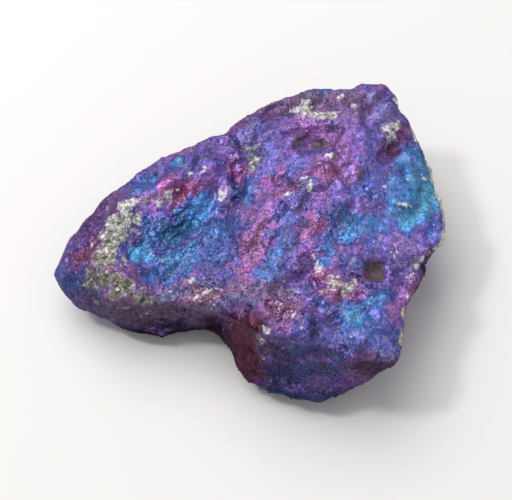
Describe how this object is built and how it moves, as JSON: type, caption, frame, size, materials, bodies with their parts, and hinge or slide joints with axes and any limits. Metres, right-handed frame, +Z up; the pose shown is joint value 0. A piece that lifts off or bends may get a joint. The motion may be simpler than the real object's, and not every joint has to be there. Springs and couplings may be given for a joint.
{
  "type": "peacock ore",
  "caption": "Loose hackly lump of iridescent blue, violet and magenta tarnished copper ore, with a low lobe, a notch in its front edge and a flat broken base to rest on.",
  "frame": {"origin": "on the ground under the middle of the lump's bounding box", "axes": "+X along the lump from the tip of its low lobe to its thick side, +Y towards its long back edge, +Z up from the flat base"},
  "size_m": [0.088, 0.0718, 0.0269],
  "materials": {
    "tarnished_sulphide": "granular metallic sulphide under a thin iridescent tarnish that runs from magenta and violet to blue and teal, with a few dull grey-green patches"
  },
  "bodies": {
    "root": {"ore_lump": "tarnished_sulphide"}
  },
  "joints": []
}
